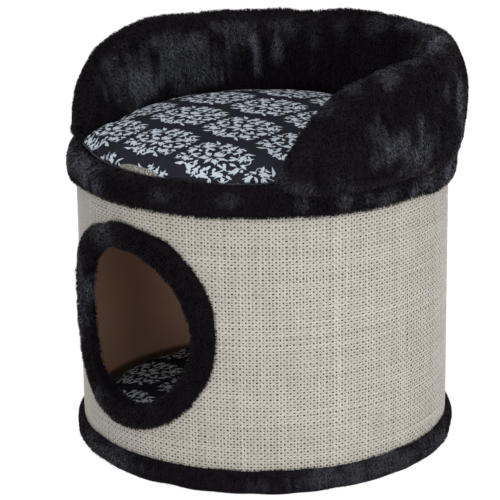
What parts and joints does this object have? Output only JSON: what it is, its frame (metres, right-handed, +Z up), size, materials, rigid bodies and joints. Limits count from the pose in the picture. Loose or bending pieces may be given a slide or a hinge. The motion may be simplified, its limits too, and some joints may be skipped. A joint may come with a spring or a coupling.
{
  "type": "cat condo",
  "caption": "Round cat condo: a sisal-covered drum den with a plush-edged doorway, and on top a cushioned nest inside a padded C-shaped backrest.",
  "frame": {"origin": "on the floor under the drum's axis", "axes": "+Z up along the drum's axis, -Y out of the doorway, +X to the right of someone who faces the doorway"},
  "size_m": [0.4124, 0.4106, 0.409],
  "materials": {
    "plush": "black long-pile plush with a soft sheen",
    "sisal": "open plain weave of natural sisal yarn",
    "tube_board": "matt brown spiral-wound board",
    "board": "raw particle board",
    "underlay_cloth": "black non-woven cloth",
    "padding": "polyester padding",
    "damask": "plain-weave cotton with a printed damask",
    "cushion_back": "plain-weave dark cotton",
    "label": "dull woven label, left blank",
    "staple_wire": "galvanised wire"
  },
  "bodies": {
    "condo": {"base_underlay": "underlay_cloth", "foot_staple_set": "staple_wire", "base_board": "board", "base_trim": "plush", "base_staple_set": "staple_wire", "drum_tube": "tube_board", "woven_cover": "sisal", "door_trim": "plush", "top_board": "board", "top_staple_set": "staple_wire", "deck_cover": "plush", "rim_foam": "padding", "rim_band": "plush", "rim_staple_set": "staple_wire", "backrest_foam": "padding", "backrest_cover": "plush"},
    "nest_cushion": {"nest_cushion_base": "cushion_back", "nest_cushion_fill": "padding", "nest_cushion_panel": "damask", "nest_cushion_label": "label"},
    "den_cushion": {"den_cushion_base": "cushion_back", "den_cushion_fill": "padding", "den_cushion_panel": "damask"}
  },
  "joints": [
    {"name": "nest_cushion_lift", "type": "slide", "parent": "condo", "child": "nest_cushion", "axis": [0, 0, 1], "range_m": [0, 0.14]},
    {"name": "den_cushion_lift", "type": "slide", "parent": "condo", "child": "den_cushion", "axis": [0, 0, 1], "range_m": [0, 0.15]}
  ]
}
